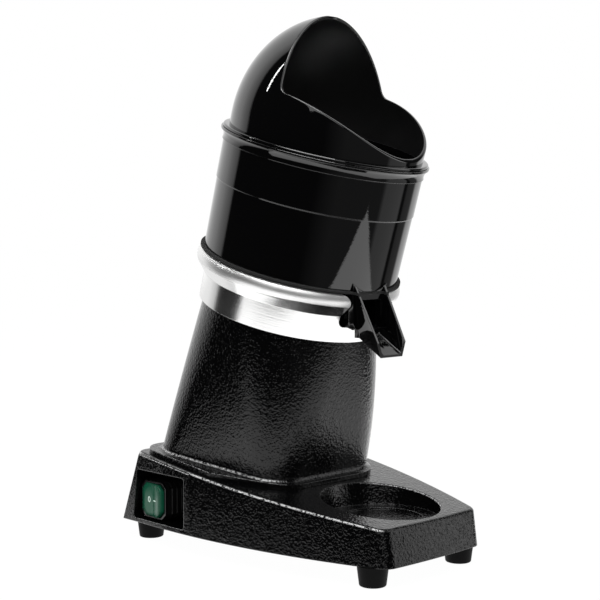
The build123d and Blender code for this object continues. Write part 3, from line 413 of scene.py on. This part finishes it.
# Finishes of the material slots
BASE_LEAN = dict(Lean=0.15, Rear_End=0.078, Hollow=(0.0, -0.083, 0.045), Hollow_Radius=0.05)
RING_LEAN = dict(Lean=-0.07, Rear_End=1.0, Hollow=(0.0, 0.0, 0.0), Hollow_Radius=0.0)
BOWL_FLANGE_DULL = (241.0, 243.2, 0.96)
RING_BEAD_DULL = (230.5, 240.4, 0.25)
# The hammered paint carries a painted highlight: grey 0.4 in specks on upper edges that face left
hammered_finish = dict(
    dark=(0.0006, 0.0006, 0.0007), light=(0.0012, 0.0012, 0.0013), rough=(0.02, 0.04),
    effect=HAMMERED, fineness=0.85, relief=0.24, edge=1.2, worn=0.4, IOR=1.4,
)
gloss_finish = dict(
    dark=(0.0006, 0.0006, 0.0007), light=(0.001, 0.001, 0.0011), rough=(0.015, 0.035), IOR=1.68,
)
pale_nylon = surface("pale_nylon", (0.6, 0.6, 0.56), (0.7, 0.7, 0.66), (0.4, 0.5))
slot_materials = {
    "hammered_paint": surface("hammered_black", **hammered_finish),
    "gloss_black": surface("gloss_black", edge=0.7, dull=BOWL_FLANGE_DULL, **gloss_finish),
    "polished_metal": surface(
        "polished_aluminium", (0.8, 0.8, 0.795), (0.9, 0.9, 0.895), (0.08, 0.22),
        relief=0.02, lean=RING_LEAN, turned=0.035, dull=RING_BEAD_DULL, Metallic=1.0,
    ),
    "black_rubber": surface(
        "black_rubber", grey(0.0012), grey(0.0025), (0.5, 0.65), relief=0.05, Specular_IOR_Level=0.08
    ),
    "green_lens": surface(
        "green_lens", (0.003, 0.05, 0.026), (0.005, 0.07, 0.036), (0.1, 0.2), edge=5.0,
        Specular_IOR_Level=0.28,
    ),
    "switch_trim": surface("switch_trim", grey(0.0012), grey(0.0025), (0.12, 0.22)),
    "switch_black": surface("switch_black", grey(0.0015), grey(0.003), (0.3, 0.45)),
    "reamer_black": surface("reamer_black", grey(0.01), grey(0.018), (0.3, 0.4), relief=0.02),
    "strainer_steel": surface("strainer_steel", grey(0.5), grey(0.62), (0.25, 0.38), Metallic=1.0),
    "bright_steel": surface(
        "ground_steel", grey(0.55), grey(0.68), (0.18, 0.3), turned=0.05, Metallic=1.0
    ),
    "zinc_screws": surface(
        "zinc_plate", (0.5, 0.51, 0.53), (0.62, 0.63, 0.66), (0.25, 0.4), Metallic=1.0
    ),
    "core_steel": surface(
        "laminated_steel", (0.22, 0.22, 0.23), (0.32, 0.32, 0.33), (0.4, 0.55), Metallic=1.0
    ),
    "copper_wire": surface(
        "enamelled_copper", (0.45, 0.2, 0.08), (0.6, 0.28, 0.12), (0.3, 0.45), Metallic=1.0
    ),
    "cast_bell": surface("cast_aluminium", grey(0.45), grey(0.58), (0.4, 0.6), relief=0.05, Metallic=1.0),
    "fan_nylon": pale_nylon,
    "cover_paint": surface("matt_black_paint", grey(0.01), grey(0.018), (0.5, 0.65), relief=0.03),
    "capacitor_case": surface("white_case", grey(0.66), grey(0.76), (0.35, 0.45)),
    "terminal_nylon": pale_nylon,
}
hammered_base = surface("hammered_black_base", lean=BASE_LEAN, **hammered_finish)
hood_gloss = surface("hood_gloss_black", edge=None, **gloss_finish)
hood_inside = surface("hood_inside_black", (0.0015, 0.0015, 0.0016), (0.0025, 0.0025, 0.0027), (0.4, 0.5))
mark_white = surface("mark_white", (0.55, 0.7, 0.62), (0.65, 0.78, 0.7), (0.4, 0.5))

for subpart in frame["record"]["subparts"]:
    obj = nodes[subpart["node"]]
    obj.data.materials.clear()
    obj.data.materials.append(slot_materials[subpart["material_slot"]])
nodes["base_casting"].data.materials[0] = hammered_base

SHARP_ANGLE = radians(40.0)


def skin(name, rings, material):
    """Mesh object from rings of points, each ring closed on itself and the last joined to the first."""
    count = len(rings[0])
    points = [point for ring in rings for point in ring]
    faces = []
    for row in range(len(rings)):
        low = row * count
        high = (row + 1) % len(rings) * count
        for column in range(count):
            after = (column + 1) % count
            faces.append((low + column, low + after, high + after, high + column))
    mesh = bpy.data.meshes.new(name)
    mesh.from_pydata(points, [], faces)
    mesh.shade_smooth()
    mesh.set_sharp_from_angle(angle=SHARP_ANGLE)
    mesh.materials.append(material)
    obj = bpy.data.objects.new(name, mesh)
    bpy.context.scene.collection.objects.link(obj)
    return obj


# Splash hood: dome with its mouth edge as a row of the mesh, sizes in millimetres as in the solid
HOOD_TURN = radians(11.5)
HOOD_RADIUS = 78.0
HOOD_WALL = 2.5
RIM_HIGH = 338.5
FLANGE_HIGH = RIM_HIGH + 2.5
DOME_LOW = RIM_HIGH + 11.0
DOME_RISE = 89.6
MOUTH_CORNER = Vector((1.5, RIM_HIGH + 40.0))
MOUTH_MIDDLE = Vector((-40.0, RIM_HIGH + 30.5))
MOUTH_LIP = Vector((-80.0, RIM_HIGH + 4.2))
MOUTH_BACK_LEAN = radians(16.2)
MOUTH_BACK = Vector((sin(MOUTH_BACK_LEAN), cos(MOUTH_BACK_LEAN)))
MOUTH_ROUND = 8.0
LIP_ROUND = 1.0
LIP_SQUARENESS = 0.6
MERIDIAN_SCALE = 85.0
# The foot from the outer wall over the rounded flange and the spigot to the inner wall, as pairs of
# radius and rise over the rim
FOOT_OUTLINE = [
    (79.2, 2.5), (81.4, 2.5), (81.86, 2.41), (82.25, 2.15), (82.51, 1.76), (82.6, 1.3),
    (82.6, 0.7), (82.45, 0.2), (81.9, 0.0),
    (76.6, 0.0), (76.6, -5.9), (76.2, -6.5), (74.5, -6.5), (74.1, -5.9), (74.1, -0.1),
]
# Fineness of the outline and of the mesh
CHEEK_STEPS = 200
CORNER_STEPS = 40
BACK_STEPS = 230
BACK_STEP = 0.3
HOOD_COLUMNS = 110
HOOD_ROWS = 34
LIP_STEPS = 10


def hood_point(across, rear, height):
    """Point of the hood, which sits turned on the bowl."""
    return place(
        across * cos(HOOD_TURN) - rear * sin(HOOD_TURN),
        across * sin(HOOD_TURN) + rear * cos(HOOD_TURN),
        height,
    )


def dome_radius(height, wall):
    """Radius of the outer face, or of the inner face a wall further in."""
    rise = max(0.0, height - DOME_LOW) / (DOME_RISE - wall)
    return (HOOD_RADIUS - wall) * sqrt(max(0.0, 1.0 - rise * rise))


def meridian_place(height, wall):
    """Way up the hood's wall, measured from the flange."""
    if height <= DOME_LOW:
        return height - FLANGE_HIGH
    rise = min(1.0, (height - DOME_LOW) / (DOME_RISE - wall))
    return DOME_LOW - FLANGE_HIGH + MERIDIAN_SCALE * asin(rise)


def meridian_height(way, wall):
    """Height at a way up the hood's wall."""
    straight = DOME_LOW - FLANGE_HIGH
    if way <= straight:
        return FLANGE_HIGH + way
    return DOME_LOW + (DOME_RISE - wall) * sin((way - straight) / MERIDIAN_SCALE)


def circle_centre(first, second, third):
    """Centre of the circle through three points of a plane."""
    ax, ay = first
    bx, by = second
    cx, cy = third
    a, b, c = first.length_squared, second.length_squared, third.length_squared
    spread = 2 * (ax * (by - cy) + bx * (cy - ay) + cx * (ay - by))
    return Vector((
        (a * (by - cy) + b * (cy - ay) + c * (ay - by)) / spread,
        (a * (cx - bx) + b * (ax - cx) + c * (bx - ax)) / spread,
    ))


def mouth_outline():
    """Side outline of the mouth from the front lip up: bowed cheek, rounded corner, straight back edge."""
    centre = circle_centre(MOUTH_CORNER, MOUTH_MIDDLE, MOUTH_LIP)
    radius = (MOUTH_LIP - centre).length
    lip_angle = atan2(*reversed(MOUTH_LIP - centre))
    corner_angle = atan2(*reversed(MOUTH_CORNER - centre))
    tangent = Vector((sin(corner_angle), -cos(corner_angle)))
    if tangent.x > 0:
        tangent.negate()
    reach = MOUTH_ROUND / tan(tangent.angle(MOUTH_BACK) / 2)
    sweep = lip_angle - corner_angle
    end_angle = corner_angle + sweep / abs(sweep) * reach / radius
    cheek = []
    for step in range(CHEEK_STEPS + 1):
        angle = lip_angle + (end_angle - lip_angle) * step / CHEEK_STEPS
        cheek.append(centre + radius * Vector((cos(angle), sin(angle))))
    start = cheek[-1]
    finish = MOUTH_CORNER + MOUTH_BACK * reach
    corner = []
    for step in range(1, CORNER_STEPS):
        share = step / CORNER_STEPS
        rest = 1 - share
        corner.append(start * rest**2 + MOUTH_CORNER * 2 * share * rest + finish * share**2)
    back = [finish + MOUTH_BACK * step * BACK_STEP for step in range(BACK_STEPS)]
    return cheek + corner + back


def mouth_edge(wall):
    """Points (across, rear, height) of the mouth edge on one face of the hood, right side, front to rear."""
    outline = [point for point in mouth_outline() if abs(point.x) <= dome_radius(point.y, wall)]
    lengths = [0.0]
    for before, after in zip(outline, outline[1:]):
        lengths.append(lengths[-1] + (after - before).length)
    edge = []
    spot = 0
    for step in range(HOOD_COLUMNS):
        target = lengths[-1] * (1 - cos(pi * step / (HOOD_COLUMNS - 1))) / 2
        while spot < len(lengths) - 2 and lengths[spot + 1] < target:
            spot += 1
        share = (target - lengths[spot]) / (lengths[spot + 1] - lengths[spot])
        rear, height = outline[spot].lerp(outline[spot + 1], min(1.0, share))
        radius = dome_radius(height, wall)
        across = sqrt(max(0.0, radius * radius - rear * rear))
        if step in (0, HOOD_COLUMNS - 1):
            across = 0.0
            rear = radius if step else -radius
        edge.append(Vector((across, rear, height)))
    return edge


def mirrored(point):
    """The same point on the hood's left half."""
    return Vector((-point.x, point.y, point.z))


def edge_ways(edge, wall):
    """Direction out of the material at each point of the mouth edge, square to the edge in the dome's face."""
    ways = []
    for index, point in enumerate(edge):
        before = edge[index - 1] if index else mirrored(edge[1])
        after = edge[index + 1] if index < len(edge) - 1 else mirrored(edge[-2])
        rise = max(0.0, point.z - DOME_LOW)
        normal = Vector((
            point.x / (HOOD_RADIUS - wall) ** 2,
            point.y / (HOOD_RADIUS - wall) ** 2,
            rise / (DOME_RISE - wall) ** 2,
        ))
        ways.append(normal.cross(after - before).normalized())
    return ways


def both_sides(points):
    """Ring of points from the right half, mirrored for the left half."""
    return points + [mirrored(point) for point in points[-2:0:-1]]


def round_axis(radius, angle, height):
    return Vector((radius * cos(angle), radius * sin(angle), height))


def hood_rows(edge, ways, wall):
    """Rows of points from the mouth edge down to the flange."""
    tops = [point - way * LIP_ROUND for point, way in zip(edge, ways)]
    rows = []
    for row in range(HOOD_ROWS + 1):
        ring = []
        for top in tops:
            height = meridian_height(meridian_place(top.z, wall) * (1 - row / HOOD_ROWS), wall)
            ring.append(round_axis(dome_radius(height, wall), atan2(top.y, top.x), height))
        rows.append(ring)
    return rows


def hood_lip(inner_top, outer_top, inner_ways, outer_ways):
    """Rolled lip from the inner face's first row over to the outer face's."""
    lip = []
    for step in range(1, LIP_STEPS):
        angle = pi * step / LIP_STEPS
        swing = abs(cos(angle)) ** LIP_SQUARENESS * (1 if cos(angle) > 0 else -1)
        rise = sin(angle) ** LIP_SQUARENESS * LIP_ROUND
        lip.append([
            (inner + outer) / 2 + (inner - outer) / 2 * swing + (inner_way + outer_way) / 2 * rise
            for inner, outer, inner_way, outer_way in zip(inner_top, outer_top, inner_ways, outer_ways)
        ])
    return lip


def hood_foot(outer_low, inner_low):
    """Flange and spigot under the wall, from the outer face's last row to the inner face's."""
    foot = []
    for number, (radius, rise) in enumerate(FOOT_OUTLINE):
        share = number / len(FOOT_OUTLINE)
        ring = []
        for outer, inner in zip(outer_low, inner_low):
            angle = atan2(outer.y, outer.x) * (1 - share) + atan2(inner.y, inner.x) * share
            ring.append(round_axis(radius, angle, RIM_HIGH + rise))
        foot.append(ring)
    return foot


def splash_hood_mesh():
    """Hood as one closed skin: outer face, foot, inner face and lip; the inner face has its own material."""
    outer_edge = mouth_edge(0.0)
    inner_edge = mouth_edge(HOOD_WALL)
    outer_ways = edge_ways(outer_edge, 0.0)
    inner_ways = edge_ways(inner_edge, HOOD_WALL)
    outer = hood_rows(outer_edge, outer_ways, 0.0)
    inner = hood_rows(inner_edge, inner_ways, HOOD_WALL)
    lip = hood_lip(inner[0], outer[0], inner_ways, outer_ways)
    foot = hood_foot(outer[-1], inner[-1])
    rings = outer + foot + inner[::-1] + lip
    turned = [[hood_point(*point) for point in both_sides(ring)] for ring in rings]
    shell = skin("hood_shell", turned, hood_gloss)
    shell.data.materials.append(hood_inside)
    ring_faces = len(turned[0])
    inside_from = (len(outer) + len(foot)) * ring_faces
    inside_to = (len(rings) - len(lip)) * ring_faces
    for face in shell.data.polygons[inside_from:inside_to]:
        face.material_index = 1
    return shell


hood = splash_hood_mesh()
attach(hood, "hood")
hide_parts("splash_hood")


# Off and on marks of the rocker, printed on its two wings, sizes in millimetres
MARK_THICK = 0.06
MARK_STROKE = 0.8
MARK_POINTS = 28
RING_PLACE, RING_WIDE, RING_HIGH = -4.0, 3.4, 4.8
DASH_PLACE, DASH_LONG, DASH_HIGH = 5.0, 4.8, 1.1
DASH_PINHOLE = 0.02
ROCKER_RISE, ROCKER_DIP, ROCKER_HALF = 6.8, 1.6, 13.3
SWITCH_TURN = radians(8.0)
rocker_pivot = Vector(joints["switch_rock"]["pos_m"])
rocker_out = Vector((-cos(SWITCH_TURN), sin(SWITCH_TURN), 0))
rocker_front = Vector((-sin(SWITCH_TURN), -cos(SWITCH_TURN), 0))


def on_rocker(front, height, lift):
    """Point on the rocker's dipped face, lifted off it by a little."""
    out = ROCKER_RISE - ROCKER_DIP * (1 - abs(front) / ROCKER_HALF) + lift
    point = rocker_pivot + (rocker_out * out + rocker_front * front) * MM
    point.z = rocker_pivot.z + height * MM
    return point


def printed_mark(name, outer, inner):
    """Thin printed shape between two outlines of (front, height)."""
    rings = [
        [on_rocker(front, height, lift) for front, height in outline]
        for outline, lift in ((outer, 0.0), (outer, MARK_THICK), (inner, MARK_THICK), (inner, 0.0))
    ]
    mark = skin(name, rings, mark_white)
    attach(mark, "rocker")


def oval(front, wide, high):
    """Outline of (front, height) round a place on the rocker."""
    angles = [2 * pi * step / MARK_POINTS for step in range(MARK_POINTS)]
    return [(front + wide / 2 * cos(angle), high / 2 * sin(angle)) for angle in angles]


printed_mark(
    "off_mark",
    oval(RING_PLACE, RING_WIDE, RING_HIGH),
    oval(RING_PLACE, RING_WIDE - 2 * MARK_STROKE, RING_HIGH - 2 * MARK_STROKE),
)
printed_mark(
    "on_mark",
    oval(DASH_PLACE, DASH_LONG, DASH_HIGH),
    oval(DASH_PLACE, DASH_LONG * DASH_PINHOLE, DASH_HIGH * DASH_PINHOLE),
)


# Studio: the camera sees plain white; gloss mirrors a white table top with its corner to the front, a white
# backdrop behind and a dark room with one lit side. Stops are compass degrees with a brightness.
TABLE_CORNER = Vector((0.159, -0.603, 0.0))
TABLE_FRONT = Vector((0.0, 0.27, 0.0))
TABLE_EDGES = [
    (Vector((0.64, 0.77, 0.0)), TABLE_CORNER),
    (Vector((-0.77, 0.64, 0.0)), TABLE_CORNER),
    (Vector((0.0, -1.0, 0.0)), TABLE_FRONT),
]
TABLE_GLOW = 1.35
EDGE_BLUR = 3 * MM
ROOM_STOPS = [
    (-180, 0.012), (-62, 0.012), (-54, 1.1), (-30, 1.8), (-22, 0.02), (-2, 0.02), (4, 0.8), (60, 1.1),
    (100, 1.0), (117.5, 0.55), (120.5, 0.012),
]
GROUND_STOPS = [
    (-180, 0.012), (-140, 0.012), (-115, 0.09), (-60, 0.09), (-55, 0.36), (-27, 0.36), (-24, 0.02),
    (-20, 0.02), (-17, 0.12), (-2, 0.12), (4, 0.9), (100, 0.9), (117.5, 0.55), (120.5, 0.012),
]
GLOW_LIMIT = 2.0
FLOOR_SIZE = 60
FLOOR_SHADOW = 0.015
FLOOR_ROUGHNESS = 0.8
WHITE = (1, 1, 1, 1)


def glow_round(tree_nodes, links, direction, stops):
    """Brightness by compass direction, as a share of GLOW_LIMIT."""
    parts = xyz(tree_nodes, links, direction)
    compass = sum_node(tree_nodes, links, "ARCTAN2", parts["Y"], parts["X"])
    shades = tree_nodes.new("ShaderNodeValToRGB")
    ramp = shades.color_ramp.elements
    while len(ramp) < len(stops):
        ramp.new(0.5)
    for stop, (degrees, glow) in zip(ramp, stops):
        stop.position = (degrees + 180) / 360
        stop.color = (*grey(glow / GLOW_LIMIT), 1)
    links.new(share_between(tree_nodes, links, compass, -pi, pi), shades.inputs["Fac"])
    return shades.outputs["Color"]


def mixed_shader(tree_nodes, links, share, first, second):
    """The first shader where the share is 0, the second where it is 1."""
    node = tree_nodes.new("ShaderNodeMixShader")
    if isinstance(share, float):
        settings(node, Fac=share)
    else:
        links.new(share, node.inputs["Fac"])
    links.new(first, node.inputs[1])
    links.new(second, node.inputs[2])
    return node.outputs["Shader"]


def emission(tree_nodes, strength):
    node = tree_nodes.new("ShaderNodeEmission")
    settings(node, Color=WHITE, Strength=strength)
    return node


def table_mask(tree_nodes, links, spot):
    """1 on the table top, 0 beyond its edges."""
    mask = None
    for way, corner in TABLE_EDGES:
        level = corner.dot(way)
        along = distance_along(tree_nodes, links, spot, way)
        inside = share_between(tree_nodes, links, along, level - EDGE_BLUR, level + EDGE_BLUR)
        mask = sum_node(tree_nodes, links, "MULTIPLY", mask, inside) if mask else inside
    return mask


def studio_room():
    """World that is white to the camera and the room in reflections."""
    world = bpy.data.worlds.new("studio")
    bpy.context.scene.world = world
    world.use_nodes = True
    tree_nodes = world.node_tree.nodes
    links = world.node_tree.links
    seen_white = tree_nodes["Background"]
    settings(seen_white, Color=WHITE, Strength=1.0)
    direction = tree_nodes.new("ShaderNodeTexCoord").outputs["Generated"]
    room = tree_nodes.new("ShaderNodeBackground")
    settings(room, Strength=GLOW_LIMIT)
    links.new(glow_round(tree_nodes, links, direction, ROOM_STOPS), room.inputs["Color"])
    in_gloss = tree_nodes.new("ShaderNodeLightPath").outputs["Is Glossy Ray"]
    both = mixed_shader(
        tree_nodes, links, in_gloss, seen_white.outputs["Background"], room.outputs["Background"]
    )
    links.new(both, tree_nodes["World Output"].inputs["Surface"])


def white_floor():
    """Floor that is white with a faint shadow to the camera, and table top and ground in reflections."""
    material, tree_nodes, links, shader = new_material("white_floor")
    settings(shader, Base_Color=WHITE, Roughness=FLOOR_ROUGHNESS, Specular_IOR_Level=0.0)
    white_glow = emission(tree_nodes, 1.0)
    seen = mixed_shader(
        tree_nodes, links, FLOOR_SHADOW, white_glow.outputs["Emission"], shader.outputs["BSDF"]
    )
    spot = own_place(tree_nodes)
    ground = emission(tree_nodes, GLOW_LIMIT)
    links.new(glow_round(tree_nodes, links, spot, GROUND_STOPS), ground.inputs["Color"])
    table_top = emission(tree_nodes, TABLE_GLOW)
    on_table = table_mask(tree_nodes, links, spot)
    in_mirror = mixed_shader(
        tree_nodes, links, on_table, ground.outputs["Emission"], table_top.outputs["Emission"]
    )
    in_gloss = tree_nodes.new("ShaderNodeLightPath").outputs["Is Glossy Ray"]
    both = mixed_shader(tree_nodes, links, in_gloss, seen, in_mirror)
    links.new(both, tree_nodes["Material Output"].inputs["Surface"])
    return material


studio_room()
bpy.ops.mesh.primitive_plane_add(size=FLOOR_SIZE, location=(0, 0, 0))
floor = bpy.context.object
floor.name = "floor"
floor.data.materials.append(white_floor())


def soft_box(name, location, target, width, height, power):
    """Rectangular area light that looks at a target."""
    data = bpy.data.lights.new(name, "AREA")
    data.shape = "RECTANGLE"
    data.size = width
    data.size_y = height
    data.energy = power
    light = bpy.data.objects.new(name, data)
    light.location = location
    light.rotation_euler = (Vector(target) - Vector(location)).to_track_quat("-Z", "Y").to_euler()
    bpy.context.scene.collection.objects.link(light)


HOOD_MIDDLE = (-0.07, -0.04, 0.37)
PART_MIDDLE = (0.0, 0.0, 0.2)
soft_box("strip_light", (-1.0, 0.81, 1.33), HOOD_MIDDLE, width=0.05, height=0.62, power=1.8)
soft_box("top_box", (-0.62, -0.59, 2.04), HOOD_MIDDLE, width=1.4, height=0.9, power=32)
soft_box("front_box", (-1.05, -1.12, 1.32), PART_MIDDLE, width=1.8, height=1.5, power=11)

bpy.context.scene.view_settings.view_transform = "Standard"
